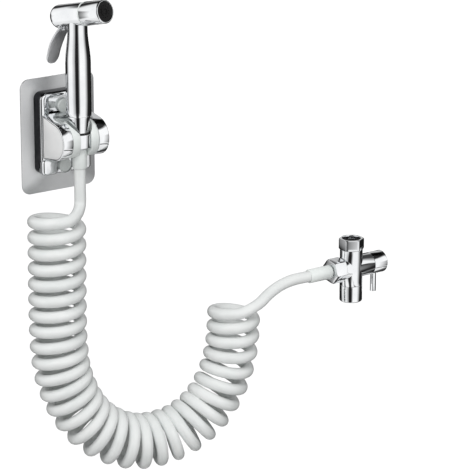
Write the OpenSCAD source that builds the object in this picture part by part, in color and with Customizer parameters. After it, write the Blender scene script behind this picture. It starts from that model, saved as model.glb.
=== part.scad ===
// Handheld bath sprayer: an adhesive wall plate with a tilting cradle, a trigger handset,
// a coiled hose and a tap diverter. X runs along the wall, Y into the wall, Z up.
// The origin is the centre of the pad's back face, on the wall.

/* [Wall plate] */
// Width of the wall plate
plate_w = 82; // [76:1:96]
// Height of the wall plate
plate_h = 112; // [104:1:130]
// Thickness of the steel plate
plate_t = 1.2; // [0.8:0.1:2]
// Corner radius of the plate
plate_corner_r = 9; // [5:1:14]
// Thickness of the adhesive pad
pad_t = 0.8; // [0.5:0.1:2]
// How far the pad stays inside the plate's edge
pad_inset = 2; // [1:0.5:5]
// Radius of the two tapped bosses on the plate
boss_r = 4; // [3:0.1:4.3]
// Shank radius of the bracket screws
screw_r = 1.9; // [1.5:0.1:2.2]
// Length of the bracket screws' shank
screw_len = 8; // [6:0.5:8.5]

/* [Bracket] */
// Width of the bracket's housing
housing_w = 54; // [52:1:60]
// Height of the bracket's housing
housing_h = 80; // [78:1:90]
// How far the housing's middle is above the plate's middle
housing_lift = 3.5; // [0:0.5:6]
// Depth of the housing in front of the plate
housing_d = 13; // [12:0.5:15]
// Corner radius of the housing
housing_corner_r = 7; // [5:0.5:9]
// Radius of the housing's rounded front edge
housing_edge_r = 3; // [1:0.5:4]
// Wall thickness of the housing
housing_wall = 2.4; // [1.5:0.1:3]
// Depth of the sunk middle panel
recess_d = 3.5; // [2:0.1:4.5]
// Width of the sunk middle panel
recess_w = 36; // [30:1:40]
// Radius of the screw caps
cap_r = 6.8; // [6:0.1:9]
// Height of the screw caps
cap_t = 2.6; // [1.5:0.1:3.2]
// Distance between the two bracket screws
screw_pitch = 58; // [56:0.5:58.5]
// Width of each rounded foot block
foot_w = 17; // [12:0.5:18]
// Height of each rounded foot block
foot_h = 16; // [10:0.5:16.5]
// How far the foot blocks stand proud of the housing
foot_d = 3; // [1:0.5:5]

/* [Cradle] */
// Radius of the cradle drum
drum_r = 17.6; // [17:0.1:19]
// Width of the cradle drum
drum_w = 28.6; // [28:0.1:32]
// Distance of the drum's axis from the wall
drum_out = 34; // [33.5:0.5:37]
// Height of the drum's axis
drum_z = 0.8; // [0:0.1:2]
// Thickness of each side arm
arm_t = 11; // [9:0.5:13]
// How far the arms' round ends stand proud of the drum
arm_proud = 0.4; // [0.1:0.1:1]
// Width of the slot in the drum's front
slot_w = 12.4; // [11.8:0.1:13]
// Radius of the drum's pivot pins
pivot_r = 5; // [3.5:0.1:6]
// Length of the drum's pivot pins
pivot_len = 8; // [6:0.1:8]
// Thickness of each cheek cover
cheek_t = 1.2; // [0.8:0.1:1.6]
// Running clearance of pins in their bores
running_gap = 0.05; // [0.02:0.01:0.08]
// Clearance between moving faces
face_gap = 0.3; // [0.2:0.05:0.4]

/* [Handset] */
// Distance of the handset's axis from the wall
handset_out = 39; // [38.5:0.1:39.5]
// Radius of the handle
handle_r = 12; // [11.5:0.1:12]
// Radius of the handle under the head
neck_r = 9.4; // [9.2:0.1:11]
// Height of the handle's lower end
handle_z = 24.3; // [23:0.1:28]
// Height at which the handle starts to narrow
taper_z = 74; // [50:1:80]
// Height of the head's axis where it crosses the handle
head_z = 120.6; // [115:0.1:128]
// Radius of the head
head_r = 11.2; // [11.1:0.1:11.8]
// Length of the head in front of the handle's axis
head_front = 37.5; // [32:0.1:42]
// Length of the head behind the handle's axis
head_rear = 29; // [29:0.1:34]
// Upward tilt of the head
head_tilt = 12.5; // [8:0.5:16]
// Turn of the head away from square to the wall
head_yaw = 12.4; // [0:0.2:20]
// Wall thickness of the handle and head
shell_t = 2.4; // [1.8:0.1:2.4]
// Radius of the black spray face
face_r = 9.7; // [8:0.1:9.8]
// Width of the lever's paddle
lever_w = 17; // [12:0.5:18]
// Thickness of the lever's paddle
lever_t = 2.6; // [2:0.1:3.2]
// Radius of the lever's pin
lever_pin_r = 1.5; // [1.2:0.1:1.6]

/* [Hose] */
// Radius of the hose
hose_r = 5.6; // [5:0.1:5.7]
// Outer radius of the coiled hose
coil_r = 26.5; // [24:0.5:27]
// Radius of the white sleeves on the hose ends
sleeve_r = 6.9; // [6.6:0.1:7.2]
// Length of the white sleeve under the handset
sleeve_len = 20.4; // [16:0.1:24]
// Length of the white sleeve at the diverter
tap_sleeve_len = 27; // [20:0.5:32]
// Radius of the G1/2 thread, cut to its minor size
thread_r = 9.4; // [9.2:0.1:9.6]
// Height of the hose nuts
nut_h = 13.6; // [12:0.1:15]

/* [Diverter] */
// Distance of the diverter's axis along the wall
tap_x = 276; // [266:1:286]
// Distance of the diverter's axis from the wall
tap_out = 105; // [98:1:112]
// Height of the diverter's cross axis
tap_z = -158.5; // [-166:0.5:-150]
// Radius of the diverter's body
body_r = 11.3; // [11.2:0.1:12.5]
// Height of the body above its cross axis
body_up = 19; // [15:0.5:24]
// Height of the body below its cross axis
body_down = 17.5; // [15:0.5:22]
// Height of the outlet collar
outlet_h = 17; // [12:0.5:20]
// Width across the flats of the hex nuts
hex_af = 22; // [21.8:0.1:26]
// Height of the inlet nut
inlet_nut_h = 11; // [10.8:0.1:14]
// Radius of the knob and its branch
knob_r = 11; // [9.5:0.1:11.1]
// Length of the knob
knob_len = 15.9; // [13:0.1:20]
// Distance of the knob from the body's axis
knob_x = 22.6; // [21:0.1:26]
// Radius of the knob's lever rod
rod_r = 3; // [2:0.1:3.5]
// How far the lever rod reaches below the knob
rod_len = 18.5; // [10:0.5:24]
// Radius of the turning spool
spool_r = 7; // [6.5:0.1:7.2]
// Radius of the water passages
port_r = 4; // [3:0.1:4.4]

/* [Hidden] */
$fn = 64;

// --- distances from the wall (D) and heights, worked out from the sizes above ---
plate_back = pad_t;
plate_front = pad_t + plate_t;
housing_front = plate_front + housing_d;
panel_front = housing_front - recess_d;
panel_t = 2.6;
panel_back = panel_front - panel_t;
recess_h = housing_h - 9;
screw_head_r = 4;
screw_head_t = 1.8;
screw_z = [housing_lift - 4 + screw_pitch / 2, housing_lift - 4 - screw_pitch / 2];
arm_in = drum_w / 2 + face_gap;
arm_out = arm_in + arm_t;
arm_r = drum_r + arm_proud;
arm_top = drum_z + arm_r * 1.22;
arm_bottom = drum_z - arm_r * 1.13;
bore_r = handle_r + face_gap;
nut_r = handle_r;
thread_gap = 0.2;
cone_low_r = thread_r - thread_gap;
cone_top_r = 10.9;
washer_t = 1.2;
nut_top = handle_z - 15.9 - washer_t;
nut_bottom = nut_top - nut_h;
nut_floor = 3;
ledge_z = nut_bottom - face_gap;
sleeve_top = nut_bottom - 0.3;
sleeve_bottom = sleeve_top - sleeve_len;
flange_t = 1.4;
gasket_t = 1.3;
barb_r = 3.4;
barb_bore_r = 2.2;
handle_bore_r = handle_r - shell_t;
core_r = 5.5;
core_bore_r = 4;
head_bore_r = head_r - 2.6;
ring_x = 11.9;
ring_t = 1;
hinge_x = -20;
hinge_z = -8.5;
stem_r = 1.5;
seat_x = 6;
seat_t = 3;
bulkhead_x = -12;
bulkhead_t = 3;
tab_t = 2.4;
collar_gap = 0.5;
spigot_h = 4;
clip_z = 1.4;
clip_t = 1.2;
inlet_washer_t = 1.8;
seal_t = 2.6;
knob_end = knob_x + knob_len;
body_top = tap_z + body_up;
body_bottom = tap_z - body_down;
tap_nut_x = -12.8;
tap_sleeve_x = tap_nut_x - nut_h - 0.3;

// Route of the coil's middle line: along the wall, distance from the wall, height
coil_route = [[-21, 29, -65], [-22, 29, -100], [-23, 29, -140], [-23.5, 29, -175],
    [-22.5, 29.5, -205], [-17.5, 31, -238], [-6, 35, -268], [12, 40, -290.5], [33, 47, -304.5],
    [58, 53, -311.5], [88, 60, -310], [110.5, 67, -296], [130.5, 72, -276], [140, 76, -248.5],
    [146.5, 78.5, -219], [152, 79, -184]];
// Route of the straight hose from the handset down to the coil
top_route = [[0, 39, -10], [0, 39, -28], [0, 39, -46], [0, 39, -64.7]];
// Route of the hose from the coil to the tap
tap_route = [[154, 101, -186], [161, 102, -181], [167, 102.5, -174.5], [176, 103, -168],
    [188, 104, -162], [203, 104.5, -158.5], [221, 105, -158.5], [234, 105, -158.5],
    [246, 105, -158.5]];

// --- helpers ---
// A flat shape in X and Z, thick from one distance from the wall to another
module plate_between(d0, d1) {
    translate([0, -d0, 0])
        rotate([90, 0, 0])
            linear_extrude(d1 - d0)
                children();
}

// A flat shape in distance-from-wall and Z, thick along X about x0
module across(x0, x1) {
    translate([(x0 + x1) / 2, 0, 0])
        rotate([90, 0, -90])
            linear_extrude(x1 - x0, center = true)
                children();
}

module rod_x(x0, x1, d, z, r) {
    translate([x0, -d, z])
        rotate([0, 90, 0])
            cylinder(h = x1 - x0, r = r);
}

module rod_y(d0, d1, x, z, r) {
    translate([x, -d1, z])
        rotate([-90, 0, 0])
            cylinder(h = d1 - d0, r = r);
}

module rod_z(z0, z1, r) {
    translate([0, 0, z0])
        cylinder(h = z1 - z0, r = r);
}

module tube_z(z0, z1, r, bore) {
    difference() {
        rod_z(z0, z1, r);
        rod_z(z0 - 1, z1 + 1, bore);
    }
}

module round_rect(w, h, r) {
    square([w - 2 * r, h], center = true);
    square([w, h - 2 * r], center = true);
    for (x = [-1, 1], z = [-1, 1])
        translate([x * (w / 2 - r), z * (h / 2 - r)])
            circle(r);
}

function unit(v) = v / norm(v);
function flip(p) = [p[0], -p[1], p[2]];
function point_at(path, i) = path[max(0, min(len(path) - 1, i))];
function heading(path, i) = unit(point_at(path, i + 1) - point_at(path, i - 1));
function side_of(t) = abs(t[0]) < 0.9 ? unit(cross(t, [1, 0, 0])) : unit(cross(t, [0, 1, 0]));

// A round tube swept along a route of points
module swept(route, r, sides, side) {
    path = [for (p = route) flip(p)];
    rings = [for (i = [0:len(path) - 1])
        let (t = heading(path, i), u = unit(cross(side, t)), v = cross(t, u))
            for (k = [0:sides - 1])
                path[i] + r * (cos(360 * k / sides) * u + sin(360 * k / sides) * v)];
    last = len(path) - 1;
    walls = [for (i = [0:last - 1], k = [0:sides - 1])
        let (a = i * sides + k, b = i * sides + (k + 1) % sides)
            [a, a + sides, b + sides, b]];
    caps = [[for (k = [0:sides - 1]) k], [for (k = [sides - 1:-1:0]) last * sides + k]];
    polyhedron(points = rings, faces = concat(walls, caps), convexity = 8);
}

// Frame of the handset's axis, and frames that turn and tilt with its head
module on_handset() {
    translate([0, -handset_out, 0])
        children();
}

module on_head_level() {
    translate([0, -handset_out, head_z])
        rotate([0, 0, head_yaw - 90])
            children();
}

module on_head() {
    on_head_level()
        rotate([0, -head_tilt, 0])
            children();
}

module head_rod(x0, x1, r) {
    translate([x0, 0, 0])
        rotate([0, 90, 0])
            cylinder(h = x1 - x0, r = r);
}

module head_tube(x0, x1, r, bore) {
    difference() {
        head_rod(x0, x1, r);
        head_rod(x0 - 1, x1 + 1, bore);
    }
}

// Frame of the diverter: its cross axis is at the middle
module on_tap() {
    translate([tap_x, -tap_out, tap_z])
        children();
}

module hex_nut(h, bore) {
    corner_r = hex_af / 2 / cos(30);
    chamfer = 0.9;
    difference() {
        intersection() {
            cylinder(h = h, r = corner_r, $fn = 6);
            union() {
                cylinder(h = h / 2, r1 = corner_r - chamfer, r2 = corner_r - chamfer + h / 2);
                translate([0, 0, h / 2])
                    cylinder(h = h / 2, r1 = corner_r - chamfer + h / 2, r2 = corner_r - chamfer);
            }
        }
        translate([0, 0, -1])
            cylinder(h = h + 2, r = bore);
    }
}

// --- wall plate ---
module adhesive_pad() {
    color("darkgray")
        plate_between(0, plate_back)
            round_rect(plate_w - 2 * pad_inset, plate_h - 2 * pad_inset, plate_corner_r - pad_inset);
}

module wall_plate() {
    color("gainsboro") {
        plate_between(plate_back, plate_front)
            round_rect(plate_w, plate_h, plate_corner_r);
        for (z = screw_z)
            difference() {
                rod_y(plate_front, panel_back, 0, z, boss_r);
                rod_y(plate_front + 0.5, panel_back + 1, 0, z, screw_r + running_gap);
            }
    }
}

// --- bracket ---
// Where a line from a point touches a circle about the drum's axis, above (1) or below (-1) it
function touch_point(from, r, side) =
    let (away = from - [drum_out, drum_z], at = atan2(away[1], away[0]) - side * acos(r / norm(away)))
    [drum_out, drum_z] + r * [cos(at), sin(at)];

module arm_shape(root, inset) {
    low = [root, arm_bottom + inset];
    high = [root, arm_top - inset];
    translate([drum_out, drum_z])
        circle(arm_r - inset);
    polygon([low, touch_point(low, arm_r - inset, -1), [drum_out, drum_z],
        touch_point(high, arm_r - inset, 1), high]);
}

module arm_outline() {
    arm_shape(housing_front - 1, 0);
}

module housing_block() {
    hull() {
        plate_between(plate_front, housing_front - housing_edge_r)
            round_rect(housing_w, housing_h, housing_corner_r, $fn = 32);
        plate_between(plate_front, housing_front - housing_edge_r * 0.3)
            round_rect(housing_w - housing_edge_r * 0.6, housing_h - housing_edge_r * 0.6,
                housing_corner_r - housing_edge_r * 0.3, $fn = 32);
        plate_between(plate_front, housing_front)
            round_rect(housing_w - 2 * housing_edge_r, housing_h - 2 * housing_edge_r,
                housing_corner_r - housing_edge_r, $fn = 32);
    }
}

module foot_block() {
    foot_x = housing_w / 2 - foot_w / 2;
    foot_low = -housing_h / 2 + 0.5;
    translate([foot_x, 0, 0])
        plate_between(panel_front - 1, housing_front + foot_d)
            translate([0, foot_low + foot_h / 2])
                round_rect(foot_w, foot_h, 4);
}

module bracket_housing() {
    inner_w = housing_w - 2 * housing_wall;
    inner_h = housing_h - 2 * housing_wall;
    color("whitesmoke")
        difference() {
            union() {
                translate([0, 0, housing_lift]) {
                    difference() {
                        housing_block();
                        plate_between(panel_front, housing_front + 1)
                            round_rect(recess_w, recess_h, 3);
                    }
                    for (s = [-1, 1])
                        scale([s, 1, 1])
                            foot_block();
                }
                across(-arm_out, arm_out)
                    arm_outline();
            }
            translate([0, 0, housing_lift])
                plate_between(plate_front - 1, panel_back)
                    round_rect(inner_w, inner_h, housing_corner_r - housing_wall);
            across(-arm_in, arm_in)
                difference() {
                    translate([housing_front, -housing_h])
                        square([3 * drum_r, 2 * housing_h]);
                    saddle_outline();
                }
            for (z = screw_z)
                rod_y(plate_front, housing_front, 0, z, screw_r + running_gap);
            for (z = screw_z)
                rod_y(panel_front, housing_front + 3 * drum_r, 0, z, cap_r + face_gap);
            rod_x(-arm_out - 1, arm_out + 1, drum_out, drum_z, pivot_r + running_gap);
            for (s = [-1, 1])
                scale([s, 1, 1]) {
                    rod_x(arm_in - 0.1, arm_in + 1.6, drum_out, drum_z, pivot_r + 3);
                    rod_x(arm_in + pivot_len - face_gap, arm_out + 1, drum_out, drum_z, pivot_r + 1);
                }
            for (s = [-1, 1])
                scale([s, 1, 1])
                    across(arm_out - cheek_t, arm_out + 1)
                        cheek_outline(0);
        }
}

// The saddle joins the arms behind the drum, with room for the drum to turn
module saddle_outline() {
    difference() {
        arm_outline();
        translate([drum_out, drum_z])
            circle(drum_r + face_gap);
        translate([housing_front + 7, -housing_h])
            square([3 * drum_r, 2 * housing_h]);
    }
}

module cheek_outline(gap) {
    border = 1.6 + gap;
    arm_shape(housing_front + border, border);
}

module cheek_cover(s) {
    color("lightgray")
        scale([s, 1, 1])
            across(arm_out - cheek_t, arm_out)
                cheek_outline(0.05);
}

module cheek_cover_left() {
    cheek_cover(-1);
}

module cheek_cover_right() {
    cheek_cover(1);
}

module bracket_screws() {
    color("silver")
        for (z = screw_z) {
            difference() {
                rod_y(panel_front, panel_front + screw_head_t, 0, z, screw_head_r);
                plate_between(panel_front + screw_head_t / 2, panel_front + screw_head_t + 1)
                    translate([0, z])
                        square([2 * screw_head_r + 1, 0.9], center = true);
            }
            rod_y(panel_front - screw_len, panel_front, 0, z, screw_r);
        }
}

module screw_cap(z) {
    color("silver")
        difference() {
            union() {
                rod_y(panel_front, panel_front + cap_t - 0.5, 0, z, cap_r);
                translate([0, -panel_front - cap_t, z])
                    rotate([-90, 0, 0])
                        cylinder(h = 0.5, r1 = cap_r - 0.5, r2 = cap_r);
            }
            rod_y(panel_front - 1, panel_front + screw_head_t + 0.1, 0, z, screw_head_r + 0.1);
        }
}

module screw_cap_top() {
    screw_cap(screw_z[0]);
}

module screw_cap_bottom() {
    screw_cap(screw_z[1]);
}

// --- cradle ---
module cradle_drum() {
    color("ghostwhite")
        difference() {
            union() {
                rod_x(-drum_w / 2, drum_w / 2, drum_out, drum_z, drum_r);
                rod_x(-drum_w / 2 - pivot_len, drum_w / 2 + pivot_len, drum_out, drum_z, pivot_r);
            }
            on_handset() {
                rod_z(ledge_z, drum_z + 2 * drum_r, bore_r);
                rod_z(drum_z - 2 * drum_r, ledge_z + 1, sleeve_r + face_gap);
            }
            translate([-slot_w / 2, -handset_out - 2 * drum_r, drum_z - 2 * drum_r])
                cube([slot_w, 2 * drum_r, 4 * drum_r]);
            for (s = [-1, 1])
                scale([s, 1, 1])
                    rod_x(drum_w / 2 + 1, drum_w, drum_out, drum_z, screw_r);
        }
}

module pivot_screws() {
    head_x = drum_w / 2 + pivot_len;
    color("silver")
        for (s = [-1, 1])
            scale([s, 1, 1]) {
                rod_x(head_x, head_x + 1, drum_out, drum_z, pivot_r + 0.5);
                rod_x(head_x - pivot_len + 2, head_x, drum_out, drum_z, screw_r);
            }
}

module friction_rings() {
    color("black")
        for (s = [-1, 1])
            scale([s, 1, 1])
                difference() {
                    rod_x(arm_in, arm_in + 1.5, drum_out, drum_z, pivot_r + 2.9);
                    rod_x(arm_in - 1, arm_in + 3, drum_out, drum_z, pivot_r + running_gap);
                }
}

// --- handset: handle ---
function taper_r(k) = neck_r + (handle_r - neck_r) * (1 + cos(180 * k)) / 2;

module handle_shell() {
    neck_z = head_z - head_r - 0.8;
    steps = 10;
    outline = [for (k = [0:steps]) [taper_r(k / steps), taper_z + (neck_z - taper_z) * k / steps]];
    color("gainsboro")
        difference() {
            on_handset()
                difference() {
                    union() {
                        rod_z(handle_z, taper_z, handle_r);
                        rotate_extrude()
                            polygon(concat([[0, taper_z]], outline, [[neck_r, head_z], [0, head_z]]));
                    }
                    rod_z(handle_z - 1, taper_z - 2, handle_bore_r);
                    translate([0, 0, taper_z - 2])
                        cylinder(h = neck_z - taper_z, r1 = handle_bore_r, r2 = neck_r - shell_t);
                    rod_z(neck_z - 3, head_z + 1, neck_r - shell_t);
                }
            on_head()
                head_rod(-head_rear, head_front, head_r);
        }
}

module handle_core() {
    color("white")
        on_handset()
            tube_z(handle_z - 12, head_z - head_bore_r, core_r, core_bore_r);
}

module tail_cone() {
    color("gainsboro")
        on_handset()
            difference() {
                union() {
                    translate([0, 0, nut_top + washer_t])
                        cylinder(h = handle_z - nut_top - washer_t, r1 = cone_low_r, r2 = cone_top_r);
                    rod_z(handle_z, handle_z + 10, handle_bore_r);
                    rod_z(nut_bottom + nut_floor + flange_t + gasket_t, nut_top + washer_t + 1,
                        thread_r - thread_gap);
                }
                rod_z(handle_z - 12, handle_z + 11, core_r);
                rod_z(nut_bottom, handle_z, core_bore_r);
            }
}

module tail_washer() {
    color("black")
        on_handset()
            tube_z(nut_top, nut_top + washer_t, cone_low_r + 1, thread_r);
}

module handset_nut() {
    rim = 1;
    color("gainsboro")
        on_handset()
            difference() {
                union() {
                    rod_z(nut_bottom + rim, nut_top, nut_r);
                    translate([0, 0, nut_bottom])
                        cylinder(h = rim, r1 = nut_r - rim, r2 = nut_r);
                }
                rod_z(nut_bottom + nut_floor, nut_top + 1, thread_r);
                rod_z(nut_bottom - 1, nut_top, barb_r + 1.5);
            }
}

module nut_gasket() {
    z = nut_bottom + nut_floor + flange_t;
    color("black")
        on_handset()
            tube_z(z, z + gasket_t, thread_r - thread_gap, core_bore_r);
}

// --- handset: head ---
module head_body() {
    rear_r = 6.5;
    front_x = ring_x - ring_t / 2;
    spigot_r = head_bore_r + 0.8;
    slot_half = 3.4;
    color("gainsboro")
        on_head()
            difference() {
                union() {
                    head_rod(-head_rear + rear_r, front_x, head_r);
                    head_rod(front_x, front_x + 6, spigot_r);
                    rotate([0, 90, 0])
                        rotate_extrude()
                            union() {
                                translate([0, -head_rear])
                                    square([head_r - rear_r, rear_r]);
                                intersection() {
                                    translate([head_r - rear_r, -head_rear + rear_r])
                                        circle(rear_r);
                                    translate([0, -head_rear])
                                        square([head_r, rear_r]);
                                }
                            }
                }
                head_rod(-head_rear + 2.6, front_x + 7, head_bore_r);
                translate([hinge_x - 5, -slot_half, -head_r - 1])
                    cube([10, 2 * slot_half, head_r]);
                translate([hinge_x, head_r, hinge_z])
                    rotate([90, 0, 0])
                        cylinder(h = 2 * head_r, r = lever_pin_r + running_gap);
                rotate([0, head_tilt, 0])
                    rod_z(-head_r - 6, 0, core_r);
            }
}

module head_ring() {
    color("white")
        on_head()
            head_tube(ring_x - ring_t / 2, ring_x + ring_t / 2, head_r + 0.2, head_bore_r + 0.8);
}

module nozzle_sleeve() {
    back_x = ring_x + ring_t / 2;
    rim = 1;
    color("gainsboro")
        on_head()
            difference() {
                union() {
                    head_rod(back_x, head_front - rim, head_r);
                    translate([head_front - rim, 0, 0])
                        rotate([0, 90, 0])
                            cylinder(h = rim, r1 = head_r, r2 = head_r - 0.8);
                }
                head_rod(back_x - 1, back_x + 7, head_bore_r + 0.85);
                head_rod(back_x, head_front - 12, face_r - 2);
                head_rod(head_front - 12, head_front + 1, face_r + 0.05);
            }
}

module spray_face() {
    holes = 12;
    ring_at = 5.6;
    color("black")
        on_head()
            difference() {
                union() {
                    head_rod(head_front - 4, head_front - 1.4, face_r);
                    difference() {
                        head_rod(head_front - 2, head_front - 0.9, 4);
                        head_rod(head_front - 2.5, head_front, 3.2);
                    }
                }
                for (k = [0:holes - 1])
                    rotate([360 * k / holes, 0, 0])
                        translate([0, ring_at, 0])
                            head_rod(head_front - 5, head_front, 0.45);
                for (k = [0:5])
                    rotate([60 * k, 0, 0])
                        translate([0, 2, 0])
                            head_rod(head_front - 5, head_front, 0.45);
            }
}

module nozzle_insert() {
    color("white")
        on_head()
            difference() {
                head_rod(head_front - 12, head_front - 4, face_r - 0.1);
                head_rod(head_front - 10, head_front - 3, face_r - 2);
                head_rod(head_front - 13, head_front - 3, port_r);
            }
}

module valve_seat() {
    color("goldenrod")
        on_head()
            head_tube(seat_x, seat_x + seat_t, head_bore_r, port_r);
}

module stem_gland() {
    color("goldenrod")
        on_head()
            head_tube(bulkhead_x, bulkhead_x + bulkhead_t, head_bore_r, stem_r + running_gap);
}

module valve_stem() {
    collar_x = hinge_x - tab_t / 2 - collar_gap;
    color("silver")
        on_head() {
            head_rod(collar_x - 2, seat_x - 0.6, stem_r);
            head_rod(collar_x - 2, collar_x, 2.6);
            head_rod(seat_x - seal_t, seat_x - seal_t + 0.6, port_r + 1.4);
        }
}

module valve_seal() {
    color("black")
        on_head()
            difference() {
                head_rod(seat_x - seal_t + 0.6, seat_x - 0.05, port_r + 1.4);
                head_rod(seat_x - seal_t - 1, seat_x - 0.6, stem_r);
            }
}

module valve_spring() {
    turns = 5;
    per_turn = 12;
    wire_r = 0.5;
    mean_r = 3.2;
    x0 = bulkhead_x + bulkhead_t + wire_r + 0.05;
    x1 = seat_x - seal_t - wire_r - 0.05;
    steps = turns * per_turn;
    coil = [for (k = [0:steps]) [x0 + (x1 - x0) * k / steps, -mean_r * cos(360 * k / per_turn),
        mean_r * sin(360 * k / per_turn)]];
    color("silver")
        on_head()
            swept(coil, wire_r, 6, [1, 0, 0]);
}

// The blade hangs from the pin and bows away from the handle
blade_line = [[-17, -13], [-20.5, -18.5], [-25.5, -26], [-30, -35], [-33, -44], [-34.8, -51.5]];

module blade_outline() {
    n = len(blade_line) - 1;
    polygon(concat(
        [for (p = blade_line) p + [lever_t / 2, 0]],
        [for (i = [n:-1:0]) blade_line[i] - [lever_t / 2, 0]]));
}

module trigger_lever() {
    neck_half = 3.1;
    low_z = blade_line[5][1];
    tip_r = lever_w / 2 - 0.5;
    full_z = 0.58 * low_z;
    shoulder_z = 0.355 * low_z;
    color("silver")
        difference() {
            union() {
                on_head_level()
                    intersection() {
                        rotate([90, 0, 0])
                            linear_extrude(lever_w, center = true)
                                blade_outline();
                        rotate([90, 0, 90])
                            linear_extrude(4 * head_rear, center = true)
                                union() {
                                    translate([0, low_z + tip_r])
                                        circle(tip_r);
                                    polygon([[-tip_r, low_z + tip_r], [tip_r, low_z + tip_r],
                                        [lever_w / 2, full_z], [lever_w / 2 - 0.9, shoulder_z],
                                        [neck_half, shoulder_z + 1], [neck_half, -10],
                                        [-neck_half, -10], [-neck_half, shoulder_z + 1],
                                        [-lever_w / 2 + 0.9, shoulder_z], [-lever_w / 2, full_z]]);
                                }
                    }
                on_head() {
                    translate([hinge_x, neck_half, hinge_z])
                        rotate([90, 0, 0])
                            cylinder(h = 2 * neck_half, r = 3);
                    translate([hinge_x - 1.5, -neck_half, hinge_z - 6.5])
                        cube([4.4, 2 * neck_half, 6.5]);
                    for (s = [-1, 1])
                        translate([hinge_x - tab_t / 2, s > 0 ? stem_r + 0.3 : -neck_half, hinge_z])
                            cube([tab_t, neck_half - stem_r - 0.3, -hinge_z + 2]);
                }
            }
            on_head()
                translate([hinge_x, head_r, hinge_z])
                    rotate([90, 0, 0])
                        cylinder(h = 2 * head_r, r = lever_pin_r + running_gap);
        }
}

module lever_pin() {
    half = 7;
    color("silver")
        on_head()
            translate([hinge_x, half, hinge_z])
                rotate([90, 0, 0])
                    cylinder(h = 2 * half, r = lever_pin_r);
}

// --- hose ---
module hose_barb(z_up, z_down) {
    difference() {
        union() {
            rod_z(z_up - flange_t + 0.1, z_up, thread_r - thread_gap);
            rod_z(z_down, z_up, barb_r + 1);
        }
        rod_z(z_down - 1, z_up + 1, barb_bore_r);
    }
}

module hose_barb_top() {
    color("goldenrod")
        on_handset()
            hose_barb(nut_bottom + nut_floor + flange_t, sleeve_top - 2.7);
}

module sleeve_at(z_up, z_down, hose_top) {
    edge = 1;
    difference() {
        union() {
            rod_z(z_down + edge, z_up - edge, sleeve_r);
            translate([0, 0, z_up - edge])
                cylinder(h = edge, r1 = sleeve_r, r2 = sleeve_r - 0.6);
            translate([0, 0, z_down])
                cylinder(h = edge, r1 = sleeve_r - 0.6, r2 = sleeve_r);
        }
        rod_z(z_down - 1, hose_top, hose_r + 0.05);
        rod_z(z_down, z_up + 1, barb_r + 1.05);
    }
}

module hose_sleeve_top() {
    color("whitesmoke")
        on_handset()
            sleeve_at(sleeve_top, sleeve_bottom, sleeve_top - 3);
}

module hose_tail_top() {
    color("whitesmoke")
        swept(top_route, hose_r, 12, [1, 0, 0]);
}

module hose_coil() {
    color("whitesmoke")
        swept(coil_route, coil_r, 12, [0.3, 1, 0]);
}

module hose_tail_tap() {
    color("whitesmoke")
        swept(tap_route, hose_r, 12, [0, 1, 0]);
}

// Turns a piece that stands along Z so that its top points at the diverter
module along_branch() {
    on_tap()
        rotate([0, 90, 0])
            children();
}

module hose_sleeve_tap() {
    color("whitesmoke")
        along_branch()
            sleeve_at(tap_sleeve_x, tap_sleeve_x - tap_sleeve_len, tap_sleeve_x - 3);
}

module hose_barb_tap() {
    color("goldenrod")
        along_branch()
            hose_barb(tap_nut_x - nut_h + nut_floor + flange_t, tap_sleeve_x - 2.7);
}

module tap_hose_gasket() {
    z = tap_nut_x - nut_h + nut_floor + flange_t;
    color("black")
        along_branch()
            tube_z(z, z + gasket_t, thread_r - thread_gap, core_bore_r);
}

module tap_hose_nut() {
    color("gainsboro")
        along_branch()
            translate([0, 0, tap_nut_x - nut_h])
                rotate([0, 0, 40])
                    difference() {
                        hex_nut(nut_h, barb_r + 1.5);
                        rod_z(nut_floor, nut_h + 1, thread_r);
                    }
}

// --- diverter ---
module diverter_body() {
    spigot_end = tap_nut_x - nut_h + nut_floor + flange_t + gasket_t;
    color("gainsboro")
        on_tap()
            difference() {
                union() {
                    rod_z(-body_down, body_up, body_r);
                    rod_z(body_up, body_up + spigot_h, thread_r - thread_gap);
                    rod_z(-body_down - 6, -body_down, body_r - 3);
                    head_rod(0, knob_x - face_gap, knob_r);
                    head_rod(spigot_end, 0, thread_r - thread_gap);
                    head_rod(tap_nut_x + 0.3, 0, thread_r + 1.2);
                }
                rod_z(-body_down - 7, body_up + spigot_h + 1, port_r + 1);
                head_rod(spigot_end - 1, 0, port_r);
                head_rod(-spool_r - 1, knob_x + 1, spool_r + running_gap);
                head_rod(15, knob_x + 1, spool_r + 1);
            }
}

module spool() {
    reach = 14.5;
    color("goldenrod")
        on_tap()
            difference() {
                union() {
                    head_rod(-spool_r - 0.6, reach, spool_r);
                    head_rod(reach, knob_end - 5, 3);
                }
                rod_z(-spool_r - 1, spool_r + 1, port_r);
                head_rod(-spool_r - 2, 0, port_r - 0.6);
                head_rod(knob_end - 10, knob_end, 1.3);
                for (x = [6, 10.5])
                    head_tube(x, x + 2, spool_r + 1, spool_r - 1.2);
            }
}

module spool_seals() {
    color("black")
        on_tap()
            for (x = [6, 10.5])
                head_tube(x + 0.1, x + 1.9, spool_r, spool_r - 1.15);
}

module spool_gland() {
    color("goldenrod")
        on_tap()
            head_tube(15, knob_x - face_gap, spool_r + 1, 3 + running_gap);
}

module diverter_knob() {
    rim = 0.8;
    color("gainsboro")
        on_tap()
            difference() {
                union() {
                    head_rod(knob_x, knob_end - rim, knob_r);
                    translate([knob_end - rim, 0, 0])
                        rotate([0, 90, 0])
                            cylinder(h = rim, r1 = knob_r, r2 = knob_r - rim);
                    translate([knob_x + 5.6, 0, -knob_r - rod_len])
                        cylinder(h = rod_len + knob_r - 5, r = rod_r);
                }
                head_rod(knob_x - 1, knob_end - 5, 3.02);
                head_rod(knob_x - 1, knob_end - 1.6, 1.35);
                head_rod(knob_end - 2.6, knob_end + 1, 3);
            }
}

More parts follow.
